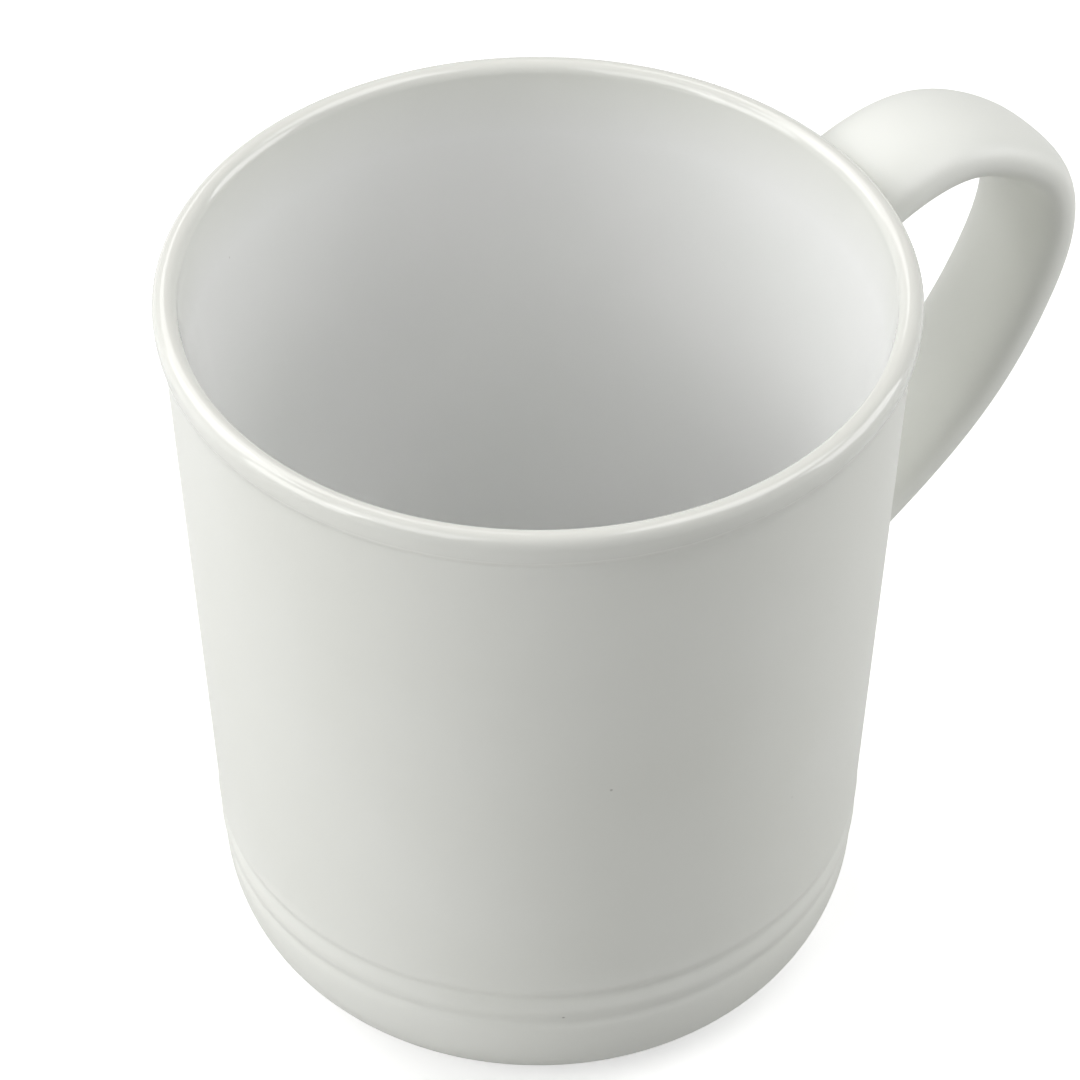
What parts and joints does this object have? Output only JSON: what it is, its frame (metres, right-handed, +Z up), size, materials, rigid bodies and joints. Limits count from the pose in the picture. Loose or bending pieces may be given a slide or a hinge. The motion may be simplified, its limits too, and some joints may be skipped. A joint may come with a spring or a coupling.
{
  "type": "mug",
  "caption": "Round ceramic mug with a rolled rim, soft rings near the foot and a strap handle.",
  "frame": {"origin": "on the cup's axis, in the plane of the foot ring that the mug stands on", "axes": "+Z is up along the cup's axis, and the handle points along +X"},
  "size_m": [0.1205, 0.088, 0.0972],
  "materials": {
    "clay": "bare fired stoneware clay",
    "satin_glaze": "off-white satin glaze",
    "gloss_glaze": "off-white glossy glaze"
  },
  "bodies": {
    "root": {"clay_body": "clay", "clay_handle": "clay", "upper_slip_joint": "clay", "lower_slip_joint": "clay", "satin_glaze": "satin_glaze", "base_glaze": "satin_glaze", "gloss_glaze": "gloss_glaze"}
  },
  "joints": []
}
